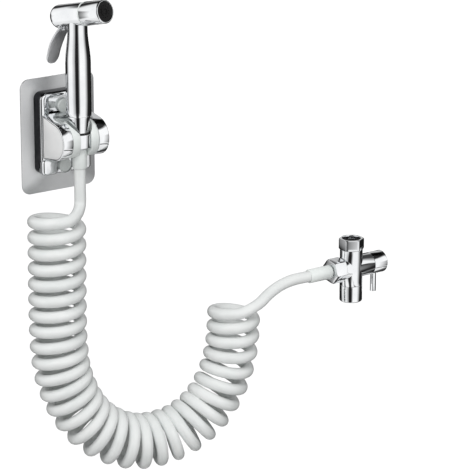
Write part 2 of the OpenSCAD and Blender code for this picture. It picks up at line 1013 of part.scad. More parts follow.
module knob_screw() {
    color("silver")
        on_tap() {
            head_rod(knob_end - 9, knob_end - 2.6, 1.3);
            head_rod(knob_end - 2.6, knob_end - 1, 2.6);
        }
}

module inlet_nut() {
    color("gainsboro")
        on_tap()
            translate([0, 0, body_up + face_gap])
                rotate([0, 0, 29])
                    difference() {
                        hex_nut(inlet_nut_h, thread_r);
                        rod_z(clip_z - 0.2, clip_z + clip_t + 0.2, thread_r + 0.6);
                        rod_z(spigot_h - face_gap + 0.2, spigot_h - face_gap + inlet_washer_t + 0.3,
                            thread_r + 0.6);
                    }
}

module nut_clip() {
    color("silver")
        on_tap()
            tube_z(body_up + face_gap + clip_z, body_up + face_gap + clip_z + clip_t, thread_r + 0.4,
                thread_r - thread_gap);
}

module inlet_washer() {
    color("black")
        on_tap()
            tube_z(body_up + spigot_h, body_up + spigot_h + inlet_washer_t, thread_r - thread_gap,
                port_r + 1.5);
}

module outlet_collar() {
    edge = 1;
    low = -body_down - outlet_h;
    color("gainsboro")
        on_tap()
            difference() {
                union() {
                    rod_z(low + edge, -body_down - 0.2, body_r);
                    translate([0, 0, low])
                        cylinder(h = edge, r1 = body_r - edge, r2 = body_r);
                }
                rod_z(-body_down - 7, -body_down + 1, body_r - 2.9);
                rod_z(low - 1, -body_down - 7, body_r - 2.2);
            }
}

module collar_seal() {
    color("black")
        on_tap()
            tube_z(-body_down - 6.9, -body_down - 6, body_r - 3, port_r + 1);
}

module aerator() {
    low = -body_down - outlet_h + 1.2;
    high = -body_down - 7;
    holes = 8;
    color("lightgray")
        on_tap()
            difference() {
                rod_z(low, high, body_r - 2.25);
                rod_z(low + 2, high + 1, body_r - 4);
                for (k = [0:holes - 1], r = [2.6, 5.2])
                    rotate([0, 0, 360 * k / holes + r * 8])
                        translate([r, 0, 0])
                            rod_z(low - 1, low + 3, 0.7);
            }
}

adhesive_pad();
wall_plate();
bracket_housing();
bracket_screws();
screw_cap_top();
screw_cap_bottom();
cheek_cover_left();
cheek_cover_right();
cradle_drum();
pivot_screws();
friction_rings();
handle_shell();
handle_core();
tail_cone();
tail_washer();
handset_nut();
nut_gasket();
head_body();
head_ring();
nozzle_sleeve();
spray_face();
nozzle_insert();
valve_seat();
valve_stem();
valve_seal();
valve_spring();
stem_gland();
trigger_lever();
lever_pin();
hose_barb_top();
hose_sleeve_top();
hose_tail_top();
hose_coil();
hose_tail_tap();
hose_sleeve_tap();
hose_barb_tap();
tap_hose_gasket();
tap_hose_nut();
diverter_body();
inlet_nut();
inlet_washer();
nut_clip();
outlet_collar();
aerator();
collar_seal();
spool();
spool_seals();
spool_gland();
diverter_knob();
knob_screw();
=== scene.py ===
# A handheld bath sprayer on a stick-on wall bracket, with a coiled hose to a tap diverter.
import math

import bpy
from mathutils import Matrix, Vector


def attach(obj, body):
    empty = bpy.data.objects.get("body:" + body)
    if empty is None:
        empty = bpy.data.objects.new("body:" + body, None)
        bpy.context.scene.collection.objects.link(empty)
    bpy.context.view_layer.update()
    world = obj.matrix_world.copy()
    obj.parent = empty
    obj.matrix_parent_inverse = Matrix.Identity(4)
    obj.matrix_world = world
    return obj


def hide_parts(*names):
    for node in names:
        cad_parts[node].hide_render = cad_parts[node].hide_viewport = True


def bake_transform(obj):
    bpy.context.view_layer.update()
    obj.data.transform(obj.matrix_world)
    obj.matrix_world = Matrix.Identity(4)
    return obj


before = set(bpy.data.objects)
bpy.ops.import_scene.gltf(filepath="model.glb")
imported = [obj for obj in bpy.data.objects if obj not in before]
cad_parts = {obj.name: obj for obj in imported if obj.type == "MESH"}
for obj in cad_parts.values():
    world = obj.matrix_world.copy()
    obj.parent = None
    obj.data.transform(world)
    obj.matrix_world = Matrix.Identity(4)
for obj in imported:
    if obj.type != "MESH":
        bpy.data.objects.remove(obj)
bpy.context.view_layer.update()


# ---------------------------------------------------------------- camera
# A long lens stands to the left of the bracket and a little above it.
# The view looks 36 degrees across the wall and 16.5 degrees down.
VIEW_TURN = math.radians(36)
VIEW_DROP = math.radians(16.5)
LENS_MM = 214.47
SENSOR_MM = 36

camera = bpy.data.objects.new("camera", bpy.data.cameras.new("camera"))
bpy.context.scene.collection.objects.link(camera)
bpy.context.scene.camera = camera
camera.location = (-1.3821, -2.1907, 0.6633)
camera.rotation_euler = (math.pi / 2 - VIEW_DROP, 0, -VIEW_TURN)
camera.data.sensor_width = SENSOR_MM
camera.data.lens = LENS_MM
camera.data.clip_start = 0.05
camera.data.clip_end = 60
bpy.context.scene.view_settings.view_transform = "Standard"


# ---------------------------------------------------------------- studio
# A pale room with a soft box up to the left. Bright metal is lit by long white panels
# with dark gaps between them, so that a round tube shows a stripe at each gap.
# Each row of steps gives a place in the room and the brightness there.
PANEL_STEPS = [
    # compass angle of the room in degrees, brightness there a little below eye level
    (-180, 0.0),
    (-116, 0.02),
    (-102, 0.40),
    (-90, 1.0),
    (-56, 1.0),
    (-42, 0.70),
    (-27, 0.40),
    (-22, 0.02),
    (2, 0.01),
    (8, 0.15),
    (15, 0.60),
    (21, 1.0),
    (62, 1.0),
    (80, 0.50),
    (96, 0.02),
    (180, 0.0),
]
SIDE_STEPS = [
    # compass angle of the room in degrees, brightness there above and below that height
    (-180, 0.55),
    (-168, 0.50),
    (-160, 0.03),
    (-140, 0.03),
    (-126, 0.85),
    (-100, 1.0),
    (-27, 1.0),
    (-21, 0.04),
    (2, 0.04),
    (9, 1.0),
    (96, 1.0),
    (108, 0.40),
    (122, 0.06),
    (158, 0.05),
    (168, 0.50),
    (180, 0.55),
]


def linear(hex_colour):
    """An sRGB hex colour as the linear numbers that a shader takes."""
    out = []
    for k in (1, 3, 5):
        c = int(hex_colour[k : k + 2], 16) / 255
        out.append(c / 12.92 if c <= 0.04045 else ((c + 0.055) / 1.055) ** 2.4)
    return (*out, 1.0)


def node(tree, kind, settings=None, **links):
    """Adds a node, sets its properties, and sets or links its inputs by name, or by number as _0.

    The setting "stops" lists a colour ramp's places, each with a hex colour or a grey level.
    """
    made = tree.nodes.new(kind)
    settings = dict(settings or {})
    stops = settings.pop("stops", [])
    for key, value in settings.items():
        setattr(made, key, value)
    if stops:
        ramp = made.color_ramp.elements
        while len(ramp) < len(stops):
            ramp.new(1.0)
        for element, (place, colour) in zip(ramp, stops):
            element.position = place
            element.color = (
                linear(colour) if isinstance(colour, str) else (colour, colour, colour, 1)
            )
    for key, value in links.items():
        slot = int(key[1:]) if key[0] == "_" and key[1:].isdigit() else key.replace("_", " ")
        if isinstance(value, bpy.types.NodeSocket):
            tree.links.new(value, made.inputs[slot])
        else:
            made.inputs[slot].default_value = value
    return made


world = bpy.data.worlds.new("studio")
bpy.context.scene.world = world
world.use_nodes = True
sky = world.node_tree
sky.nodes.clear()
ray = node(sky, "ShaderNodeLightPath")
heading = node(sky, "ShaderNodeTexCoord").outputs["Generated"]


def facing(direction):
    """How closely a ray's heading agrees with a direction."""
    return node(
        sky, "ShaderNodeVectorMath", {"operation": "DOT_PRODUCT"}, _0=heading, _1=direction
    ).outputs["Value"]


def spread_out(value, low):
    """A value between low and -low, as a share of 0 to 1."""
    return node(sky, "ShaderNodeMapRange", Value=value, From_Min=low, From_Max=-low).outputs[0]


def brightness(stops, share):
    """The brightness that a row of stops gives at a share."""
    return node(sky, "ShaderNodeValToRGB", {"stops": stops}, Fac=share).outputs["Color"]


def round_the_room(steps):
    """Stops for a row of compass angles."""
    return [((angle + 180) / 360, level) for angle, level in steps]


def times(first, second):
    """Two brightnesses, multiplied."""
    settings = {"data_type": "RGBA", "blend_type": "MULTIPLY"}
    return node(sky, "ShaderNodeMix", settings, _0=1.0, _6=first, _7=second).outputs[2]


# the compass angle is measured from the camera's side of the room, to its right
east = math.cos(VIEW_TURN)
north = math.sin(VIEW_TURN)
across = facing((east, -north, 0))
toward = facing((-north, -east, 0))
angle = node(sky, "ShaderNodeMath", {"operation": "ARCTAN2"}, _0=across, _1=toward)
turn = spread_out(angle.outputs[0], -math.pi)
panels = brightness(round_the_room(PANEL_STEPS), turn)
sides = brightness(round_the_room(SIDE_STEPS), turn)

# share of the room's height, from the floor to overhead, and the brightness there
STOREYS = [
    (0.0, 0.75),
    (0.165, 0.9),
    (0.205, 1.0),
    (0.81, 1.0),
    (0.85, 0.30),
    (0.875, 0.03),
    (1.0, 0.02),
]
# the panels show where the belt is 0, and the sides where it is 1
BELT = [(0.0, 1.0), (0.20, 1.0), (0.25, 0.0), (0.52, 0.0), (0.58, 1.0)]
# a thin dark line low down on the right of the room
LINE = [(0.165, 1.0), (0.172, 0.05), (0.195, 0.05), (0.205, 1.0)]
LINE_AWAY = [(0.58, 1.0), (0.62, 0.0), (0.95, 0.0), (0.98, 1.0)]
parts = node(sky, "ShaderNodeSeparateXYZ", Vector=heading)
rise = spread_out(parts.outputs["Z"], -1)
belt = brightness(BELT, rise)
skirt = node(
    sky,
    "ShaderNodeMath",
    {"operation": "MAXIMUM"},
    _0=brightness(LINE, rise),
    _1=brightness(LINE_AWAY, turn),
)
outer = times(times(sides, brightness(STOREYS, rise)), skirt.outputs[0])
room = node(sky, "ShaderNodeMix", {"data_type": "RGBA"}, _0=belt, _6=panels, _7=outer)

# dull surfaces get most of their light from the front left, and little from the wall's side
FRONT_LEFT = (-0.45, -0.65, 0.61)
WASH = [(0.0, 0.22), (0.40, 0.21), (0.55, 0.32), (0.80, 1.2), (1.0, 1.55)]
wash = brightness(WASH, spread_out(facing(FRONT_LEFT), -1))
fill = node(sky, "ShaderNodeBackground", Color=wash, Strength=0.90)

# the room itself is seen, directly or through a clear surface, as plain white
shown = node(sky, "ShaderNodeBackground", Color=(1, 1, 1, 1), Strength=1.0)
mirrored = node(sky, "ShaderNodeBackground", Color=room.outputs[2], Strength=1.08)
seen = node(
    sky,
    "ShaderNodeMath",
    {"operation": "ADD"},
    _0=ray.outputs["Is Camera Ray"],
    _1=ray.outputs["Is Transmission Ray"],
)
lit = node(
    sky,
    "ShaderNodeMixShader",
    _0=ray.outputs["Is Glossy Ray"],
    _1=fill.outputs[0],
    _2=mirrored.outputs[0],
)
whole_room = node(
    sky, "ShaderNodeMixShader", _0=seen.outputs[0], _1=lit.outputs[0], _2=shown.outputs[0]
)
node(sky, "ShaderNodeOutputWorld", Surface=whole_room.outputs[0])

lamp = bpy.data.objects.new("soft_box", bpy.data.lights.new("soft_box", "AREA"))
bpy.context.scene.collection.objects.link(lamp)
lamp.location = (-1.6, -1.5, 1.9)
LAMP_AIM = Vector((0.08, -0.04, -0.1))
lamp.rotation_euler = (LAMP_AIM - lamp.location).to_track_quat("-Z", "Y").to_euler()
lamp.data.energy = 14.5
lamp.data.size = 1.1
lamp.visible_glossy = False


def mesh_piece(name, verts, faces, material, crease_deg=32):
    """A new mesh object from points in metres, with edges sharper than the crease kept crisp."""
    mesh = bpy.data.meshes.new(name)
    mesh.from_pydata([tuple(v) for v in verts], [], faces)
    mesh.validate()
    mesh.update()
    made = bpy.data.objects.new(name, mesh)
    bpy.context.scene.collection.objects.link(made)
    made.data.materials.append(material)
    for polygon in mesh.polygons:
        polygon.use_smooth = True
    mesh.set_sharp_from_angle(angle=math.radians(crease_deg))
    return made


FLOOR_Z = -0.62


def floor_material():
    """Painted pale floor: an even grey that brightens towards white where it is looked at."""
    made = bpy.data.materials.new("painted pale floor")
    made.use_nodes = True
    tree = made.node_tree
    tree.nodes.clear()
    eye = node(tree, "ShaderNodeLightPath")
    paint = node(tree, "ShaderNodeBsdfDiffuse", Color=linear("#b4b4b4"))
    lift = node(
        tree,
        "ShaderNodeMath",
        {"operation": "MULTIPLY"},
        _0=eye.outputs["Is Camera Ray"],
        _1=0.7,
    )
    glow = node(tree, "ShaderNodeEmission", Color=(1, 1, 1, 1), Strength=lift.outputs[0])
    both = node(tree, "ShaderNodeAddShader", _0=paint.outputs[0], _1=glow.outputs[0])
    clear = node(tree, "ShaderNodeBsdfTransparent", Color=(1, 1, 1, 1))
    # bright metal mirrors the room's panels through the floor
    kept = node(
        tree,
        "ShaderNodeMixShader",
        _0=eye.outputs["Is Glossy Ray"],
        _1=both.outputs[0],
        _2=clear.outputs[0],
    )
    node(tree, "ShaderNodeOutputMaterial", Surface=kept.outputs[0])
    return made


floor = mesh_piece(
    "floor",
    [(-9, -9, FLOOR_Z), (9, -9, FLOOR_Z), (9, 9, FLOOR_Z), (-9, 9, FLOOR_Z)],
    [(0, 1, 2, 3)],
    floor_material(),
)


# ---------------------------------------------------------------- hose
# One length of moulded polyurethane hose, about 11.2 mm thick, pale grey and slightly glossy.
# It is wound on a mandrel, so it hangs as a springy coil between the handset and the tap.
HOSE_RADIUS = 0.0056
WOUND_RADIUS = 0.0058  # the hose swells a little where it is wound
COIL_RADIUS = 0.0223
FAR_COIL_RADIUS = 0.0202
NARROWS_FROM = 0.25  # how far along its axis the coil starts to narrow, and over what length
NARROWS_OVER = 0.22
COIL_AXIS = [
    # x, distance from the wall, z, all in mm, and the pitch of the turns there
    (-20.5, 29, -73.1, 15.29),
    (-20.8, 29, -105.0, 15.36),
    (-21.2, 29, -142.4, 15.30),
    (-21.3, 29, -175.2, 15.40),
    (-20.8, 29.5, -203.4, 15.34),
    (-16.8, 31, -234.4, 14.41),
    (-4.5, 35, -266.6, 15.11),
    (13.0, 40, -289.5, 16.71),
    (34.3, 47, -303.7, 15.13),
    (57.8, 53, -310.2, 14.70),
    (85.2, 60, -307.5, 15.09),
    (107.0, 67, -296.8, 14.68),
    (127.4, 72, -278.0, 15.50),
    (141.9, 76, -250.0, 16.49),
    (148.6, 78.5, -219.5, 15.50),
    (151.1, 79, -177.5, 14.00),
]
FIRST_PHASE = math.radians(88.4)
START_DEG = 100
TURNS = 30
POINTS_PER_TURN = 40
AXIS_STEPS = 24


def mm(x, out, z):
    """A point of the part, given in mm with its distance out from the wall."""
    return Vector((x, -out, z)) * 0.001


def spline(points, steps):
    """Points along a Catmull-Rom curve through the given ones."""
    ends = [points[0] * 2 - points[1], *points, points[-1] * 2 - points[-2]]
    out = []
    for i in range(1, len(ends) - 2):
        a, b, c, d = ends[i - 1 : i + 3]
        for k in range(steps):
            t = k / steps
            square = (2 * a - 5 * b + 4 * c - d) * t**2
            cube = (3 * b - a - 3 * c + d) * t**3
            out.append(0.5 * (2 * b + (c - a) * t + square + cube))
    return [*out, ends[-2]]


def resample(points, gap):
    """The same path with its points an even gap apart."""
    run = [0.0]
    for a, b in zip(points, points[1:]):
        run.append(run[-1] + (b - a).length)
    count = max(2, round(run[-1] / gap))
    out, i = [], 0
    for k in range(count + 1):
        s = run[-1] * k / count
        while i < len(run) - 2 and run[i + 1] < s:
            i += 1
        t = (s - run[i]) / (run[i + 1] - run[i])
        out.append(points[i].lerp(points[i + 1], t))
    return out


def transported(points):
    """At each point of a path, its direction and two unit vectors across it that don't twist."""
    last = len(points) - 1
    out = []
    side = Vector((1, 0, 0))
    for i in range(len(points)):
        along = (points[min(i + 1, last)] - points[max(i - 1, 0)]).normalized()
        side = (side - along * side.dot(along)).normalized()
        out.append((along, side.copy(), along.cross(side)))
    return out


def tube_mesh(name, points, radii, material, sides=20):
    """A round tube along a path, with a flat disc at each end."""
    verts, faces = [], []
    start = (points[1] - points[0]).normalized()
    side = start.orthogonal().normalized()
    last = len(points) - 1
    for i, p in enumerate(points):
        along = (points[min(i + 1, last)] - points[max(i - 1, 0)]).normalized()
        side = (side - along * side.dot(along)).normalized()
        up = along.cross(side)
        for k in range(sides):
            a = 2 * math.pi * k / sides
            verts.append(p + (side * math.cos(a) + up * math.sin(a)) * radii[i])
    for i in range(last):
        for k in range(sides):
            a, b = i * sides + k, i * sides + (k + 1) % sides
            faces.append((a, b, b + sides, a + sides))
    faces.append(tuple(range(sides))[::-1])
    faces.append(tuple(last * sides + k for k in range(sides)))
    return mesh_piece(name, verts, faces, material, crease_deg=60)


axis_points = spline([mm(x, out, z) for x, out, z, _ in COIL_AXIS], AXIS_STEPS)
axis_frames = transported(axis_points)
axis_run = [0.0]
for a, b in zip(axis_points, axis_points[1:]):
    axis_run.append(axis_run[-1] + (b - a).length)
station = [axis_run[AXIS_STEPS * k] for k in range(len(COIL_AXIS))]
per_metre = [1000 / pitch for *_, pitch in COIL_AXIS]


def between(x, xs, ys):
    """Straight-line reading of a table."""
    for i in range(len(xs) - 1):
        if x <= xs[i + 1] or i == len(xs) - 2:
            t = (x - xs[i]) / (xs[i + 1] - xs[i])
            return ys[i] * (1 - t) + ys[i + 1] * t
    return ys[-1]


# the winding angle all along the axis
winding = [FIRST_PHASE]
for a, b in zip(axis_run, axis_run[1:]):
    rate = between((a + b) / 2, station, per_metre)
    winding.append(winding[-1] + 2 * math.pi * rate * (b - a))

COIL_START = math.radians(START_DEG)
COIL_END = math.radians(START_DEG + 360 * TURNS)


def coil_point(phase):
    """The hose's centre where the winding has reached this angle."""
    i = 0
    while i < len(winding) - 2 and winding[i + 1] < phase:
        i += 1
    t = (phase - winding[i]) / (winding[i + 1] - winding[i])
    centre = axis_points[i].lerp(axis_points[i + 1], t)
    distance = axis_run[i] + (axis_run[i + 1] - axis_run[i]) * t
    narrowing = max((distance - NARROWS_FROM) / NARROWS_OVER, 0)
    radius = COIL_RADIUS + (FAR_COIL_RADIUS - COIL_RADIUS) * narrowing
    along, side, up = axis_frames[i]
    return centre + (side * math.cos(phase) + up * math.sin(phase)) * radius


coil_steps = TURNS * POINTS_PER_TURN
coil = [
    coil_point(COIL_START + (COIL_END - COIL_START) * k / coil_steps)
    for k in range(coil_steps + 1)
]


def hermite(a, ta, b, tb, steps):
    """A smooth curve from a to b that leaves and arrives along the given directions."""
    out = []
    for k in range(1, steps):
        t = k / steps
        out.append(
            a * (2 * t**3 - 3 * t**2 + 1)
            + ta * (t**3 - 2 * t**2 + t)
            + b * (-2 * t**3 + 3 * t**2)
            + tb * (t**3 - t**2)
        )
    return out


tail_top = mm(0, 39, -10)
tail_end = mm(0, 39, -59)
coil_in = (coil[1] - coil[0]).normalized()
BEND_PULL = 0.030  # how strongly the bend into the coil, and the sweep out of it, keep straight on
SWEEP_PULL = 0.016
bend = hermite(tail_end, Vector((0, 0, -BEND_PULL)), coil[0], coil_in * BEND_PULL, 16)
TAP_ROUTE = [
    (167, 102.5, -174.5),
    (176, 103, -168),
    (188, 104, -162),
    (203, 104.5, -158.8),
    (221, 105, -158.5),
    (234, 105, -158.5),
    (246, 105, -158.5),
]
tap_line = spline([mm(*p) for p in TAP_ROUTE], 6)
coil_out = (coil[-1] - coil[-2]).normalized()
tap_in = (tap_line[1] - tap_line[0]).normalized()
sweep = hermite(coil[-1], coil_out * SWEEP_PULL, tap_line[0], tap_in * SWEEP_PULL, 12)
POINT_GAP = 0.0028
SPLIT_Z = -0.0707  # the hose is one piece down to this height, and another beyond it
whole = resample([tail_top, tail_end, *bend, *coil, *sweep, *tap_line], POINT_GAP)
split = next(i for i, p in enumerate(whole) if p.z < SPLIT_Z)

# the swelling starts this far from either end of the hose, and is full a little further in
SWELLS_FROM_TOP = 0.055
SWELLS_FROM_TAP = 0.1
SWELLS_OVER = 0.03
radii = []
for i in range(len(whole)):
    past_top = (i * POINT_GAP - SWELLS_FROM_TOP) / SWELLS_OVER
    past_tap = ((len(whole) - 1 - i) * POINT_GAP - SWELLS_FROM_TAP) / SWELLS_OVER
    t = min(max(min(past_top, past_tap), 0), 1)
    radii.append(HOSE_RADIUS + (WOUND_RADIUS - HOSE_RADIUS) * t * t * (3 - 2 * t))


CLOUD_MM = 25  # spacing of the drift in its colour
SKIN_PER_M = 900.0  # its fine skin repeats about every 1.1 mm


def hose_material():
    """Moulded polyurethane: a pale cool grey with a soft gloss and a fine, faint unevenness."""
    made = bpy.data.materials.new("moulded polyurethane hose")
    made.use_nodes = True
    tree = made.node_tree
    tree.nodes.clear()
    where = node(tree, "ShaderNodeTexCoord")
    place = where.outputs["Object"]
    cloud = node(tree, "ShaderNodeTexNoise", Vector=place, Scale=1000 / CLOUD_MM, Detail=3.0)
    drift = cloud.outputs["Fac"]
    tints = [(0.3, "#dfe2e1"), (0.7, "#e9ebea")]
    tint = node(tree, "ShaderNodeValToRGB", {"stops": tints}, Fac=drift)
    skin = node(tree, "ShaderNodeTexNoise", Vector=place, Scale=SKIN_PER_M, Detail=2.0)
    bump = node(tree, "ShaderNodeBump", Strength=0.08, Distance=0.0002, Height=skin.outputs["Fac"])
    rough = node(tree, "ShaderNodeMapRange", Value=drift, To_Min=0.27, To_Max=0.36)
    body = node(
        tree,
        "ShaderNodeBsdfPrincipled",
        Base_Color=tint.outputs["Color"],
        Roughness=rough.outputs[0],
        Normal=bump.outputs["Normal"],
        IOR=1.5,
        Coat_Weight=0.25,
        Coat_Roughness=0.12,
    )
    node(tree, "ShaderNodeOutputMaterial", Surface=body.outputs[0])
    return made


hose_skin = hose_material()
upper_path, lower_path = whole[: split + 1], whole[split:]
hose_upper = tube_mesh("hose_upper", upper_path, radii[: split + 1], hose_skin)
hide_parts("hose_tail_top")
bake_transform(hose_upper)
hose_lower = tube_mesh("hose_lower", lower_path, radii[split:], hose_skin)
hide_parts("hose_coil", "hose_tail_tap")
# The tilt is taken up in the front of the first turn, which keeps the coil's back near the wall.
# Known fault: the hose's end at the tap lies past the end of this blend, so it wrongly follows
# the cradle and leaves its sleeve when the cradle tilts.
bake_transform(hose_lower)


# ---------------------------------------------------------------- bright plated parts
# Moulded ABS plated with bright chrome, in the bracket, the handset and the diverter.
# The plating keeps the faint waviness of the moulding, and softens every edge a little.
def plain_material(name, low, high, rough_low, rough_high, grain_mm=18, **shader):
    """A finish whose colour and roughness drift a little from place to place.

    Gives the material, its shader, and the node that tells it where a point lies.
    """
    made = bpy.data.materials.new(name)
    made.use_nodes = True
    tree = made.node_tree
    tree.nodes.clear()
    where = node(tree, "ShaderNodeTexCoord")
    cloud = node(
        tree,
        "ShaderNodeTexNoise",
        Vector=where.outputs["Object"],
        Scale=1000 / grain_mm,
        Detail=4.0,
    )
    drift = cloud.outputs["Fac"]
    tint = node(tree, "ShaderNodeValToRGB", {"stops": [(0.3, low), (0.7, high)]}, Fac=drift)
    rough = node(tree, "ShaderNodeMapRange", Value=drift, To_Min=rough_low, To_Max=rough_high)
    body = node(
        tree,
        "ShaderNodeBsdfPrincipled",
        Base_Color=tint.outputs["Color"],
        Roughness=rough.outputs[0],
        **shader,
    )
    node(tree, "ShaderNodeOutputMaterial", Surface=body.outputs[0])
    return made, body, where


def wavy(made, body, where, size_mm, height_mm):
    """Adds a bump of that spacing and height to a finish."""
    tree = made.node_tree
    waves = node(
        tree,
        "ShaderNodeTexNoise",
        Vector=where.outputs["Object"],
        Scale=1000 / size_mm,
        Detail=2.0,
    )
    bump = node(
        tree,
        "ShaderNodeBump",
        Strength=1.0,
        Distance=height_mm / 1000,
        Height=waves.outputs["Fac"],
    )
    tree.links.new(bump.outputs["Normal"], body.inputs["Normal"])
    return made


# a mirror of the room's panels and gaps, with a slight waver from the moulding under it
chrome = wavy(
    *plain_material(
        "bright chrome plating on ABS", "#e6e8ea", "#f4f5f6", 0.035, 0.075, Metallic=1.0
    ),
    size_mm=9,
    height_mm=0.012,
)
JOIN_WITHIN = 1e-6


def dress(name, material, soften_mm=0.0, crease_deg=34):
    """Gives a CAD node its finish, joins its faces, and rounds its edges by a small radius."""
    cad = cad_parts[name]
    cad.data.materials.clear()
    cad.data.materials.append(material)
    for polygon in cad.data.polygons:
        polygon.use_smooth = True
        polygon.material_index = 0
    weld = cad.modifiers.new("join", "WELD")
    weld.merge_threshold = JOIN_WITHIN
    if soften_mm:
        bevel = cad.modifiers.new("soften", "BEVEL")
        bevel.width = soften_mm / 1000
        bevel.segments = 2
        bevel.limit_method = "ANGLE"
        bevel.angle_limit = math.radians(crease_deg)
        bevel.use_clamp_overlap = True
        bevel.harden_normals = False
    edge = cad.modifiers.new("crease", "NODES")
    edge.node_group = crease_group(crease_deg)
    return cad


crease_groups = {}


def crease_group(degrees):
    """A node group that shades smooth across every edge that turns less than this."""
    if degrees in crease_groups:
        return crease_groups[degrees]
    group = bpy.data.node_groups.new(f"crease {degrees}", "GeometryNodeTree")
    group.interface.new_socket("Geometry", in_out="INPUT", socket_type="NodeSocketGeometry")
    group.interface.new_socket("Geometry", in_out="OUTPUT", socket_type="NodeSocketGeometry")
    source = group.nodes.new("NodeGroupInput")
    turn = group.nodes.new("GeometryNodeInputMeshEdgeAngle")
    less = node(
        group,
        "FunctionNodeCompare",
        {"data_type": "FLOAT", "operation": "LESS_EQUAL"},
        _0=turn.outputs[0],
        _1=math.radians(degrees),
    )
    kind = "GeometryNodeSetShadeSmooth"
    faces = node(group, kind, {"domain": "FACE"}, Geometry=source.outputs[0])
    edges = node(
        group,
        kind,
        {"domain": "EDGE"},
        Geometry=faces.outputs[0],
        Shade_Smooth=less.outputs[0],
    )
    target = group.nodes.new("NodeGroupOutput")
    group.links.new(edges.outputs[0], target.inputs[0])
    crease_groups[degrees] = group
    return group


for name in (
    "tail_cone",
    "handset_nut",
    "head_body",
    "nozzle_sleeve",
    "diverter_body",
    "inlet_nut",
    "tap_hose_nut",
    "outlet_collar",
    "diverter_knob",
):
    dress(name, chrome, 0.3)


# ---------------------------------------------------------------- bracket
# One moulding of plated ABS: a shallow tray screwed to the plate, two arms that hold the
# cradle, and two feet. Its skirt is given a darker copy of the chrome, a painted dark reflection.
# Sizes are in mm. A rounded rectangle is given by its width, height and corner radius.
TRAY = (54.0, 80.0, 7.0)
TRAY_HOLLOW = (49.2, 75.2, 4.6)
TRAY_Z = 3.5
CAP_Z = -29.5
# extra points along the tray's lower edge, which bends round the lower screw cap
EDGE_POINTS = [-8.25 + 0.75 * k for k in range(23)]
PLATE_FRONT = 2.0
PANEL_BACK = 8.9
PANEL_FRONT = 11.5
TRAY_FRONT = 15.0
EDGE_R = 3.0
PIVOT = (34.0, 0.8)
ARM_R = 18.0
ARM_TOP = PIVOT[1] + ARM_R * 1.22
ARM_BOTTOM = PIVOT[1] - ARM_R * 1.13
ARM_IN = 14.6
ARM_OUT = 25.6
CHEEK_T = 1.2
CHEEK_BORDER = 1.6
SCREW_HOLE_R = 8.1
CHEEK_HOLE_R = 6.0
PIVOT_HOLE_R = 5.2
HOLE_FLOOR = 16.2
HOLE_STEP = 22.3
FOOT = (17, 16, 4)
FOOT_X = 18.5
FOOT_Z = -28
FOOT_FRONT = 18
FOOT_EDGE_R = 2.6


def loft(verts, faces, rings, closed=False):
    """Joins rings of the same number of points, given in mm, into a skin, capped unless closed."""
    base = len(verts)
    count = len(rings[0])
    for ring in rings:
        verts.extend(Vector(p) * 0.001 for p in ring)
    for i in range(len(rings) if closed else len(rings) - 1):
        for k in range(count):
            a, b = base + i * count + k, base + i * count + (k + 1) % count
            n = (i + 1) % len(rings)
            faces.append((a, b, base + n * count + (k + 1) % count, base + n * count + k))
    if closed:
        return
    last = base + (len(rings) - 1) * count
    faces.append(tuple(base + k for k in range(count))[::-1])
    faces.append(tuple(last + k for k in range(count)))


def tray_ring(w, h, r, out, x=0.0, z=TRAY_Z, steps=10):
    """A rounded rectangle at a distance from the wall."""
    ring = []
    for quarter in range(4):
        cx = (w / 2 - r) * (1 if quarter in (0, 3) else -1)
        cz = (h / 2 - r) * (1 if quarter < 2 else -1)
        for k in range(steps + 1):
            a = math.pi / 2 * (quarter + k / steps)
            ring.append((x + cx + r * math.cos(a), -out, z + cz + r * math.sin(a)))
        if quarter == 2:
            ring += [(x + dx * w / TRAY[0], -out, z - h / 2) for dx in EDGE_POINTS]
    return ring


def round_cap(ring, radius):
    """The same ring, pushed out below to pass round the lower screw cap."""
    out = []
    for x, y, z in ring:
        reach = math.hypot(x, z - CAP_Z)
        if z < CAP_Z and reach < radius:
            x, z = x * radius / reach, CAP_Z + (z - CAP_Z) * radius / reach
        out.append((x, y, z))
    return out


def rolled(w, h, r, out, radius, x=0.0, z=TRAY_Z, steps=6):
    """Rings of an edge rounded over from the side to the front face."""
    rings = []
    for k in range(steps + 1):
        a = math.pi / 2 * k / steps
        inset = radius * (1 - math.cos(a))
        at = out - radius + radius * math.sin(a)
        rings.append(tray_ring(w - 2 * inset, h - 2 * inset, r - inset, at, x, z))
    return rings


def arm_ring(inset, x, steps=40):
    """The outline of an arm, seen from its end, drawn in by an inset."""
    r = ARM_R - inset
    root = TRAY_FRONT + inset if inset >= 1 else TRAY_FRONT - 1
    ends = []
    for z, side in ((ARM_BOTTOM + inset, -1), (ARM_TOP - inset, 1)):
        dx, dz = root - PIVOT[0], z - PIVOT[1]
        at = math.atan2(dz, dx) - side * math.acos(r / math.hypot(dx, dz))
        ends.append((z, at))
    (low, start), (high, stop) = ends
    start = start % (2 * math.pi) - 2 * math.pi
    stop = stop % (2 * math.pi)
    outline = []
    # where the straight edges meet the round end
    low_out, low_z = PIVOT[0] + r * math.cos(start), PIVOT[1] + r * math.sin(start)
    high_out, high_z = PIVOT[0] + r * math.cos(stop), PIVOT[1] + r * math.sin(stop)
    for k in range(6):
        t = k / 6
        outline.append((root + (low_out - root) * t, low + (low_z - low) * t))
    for k in range(steps + 1):
        a = start + (stop - start) * k / steps
        outline.append((PIVOT[0] + r * math.cos(a), PIVOT[1] + r * math.sin(a)))
    for k in range(1, 7):
        t = k / 6
        outline.append((high_out + (root - high_out) * t, high_z + (high - high_z) * t))
    for k in range(1, 8):
        outline.append((root, high + (low - high) * k / 8))
    return [(x, -out, z) for out, z in outline]


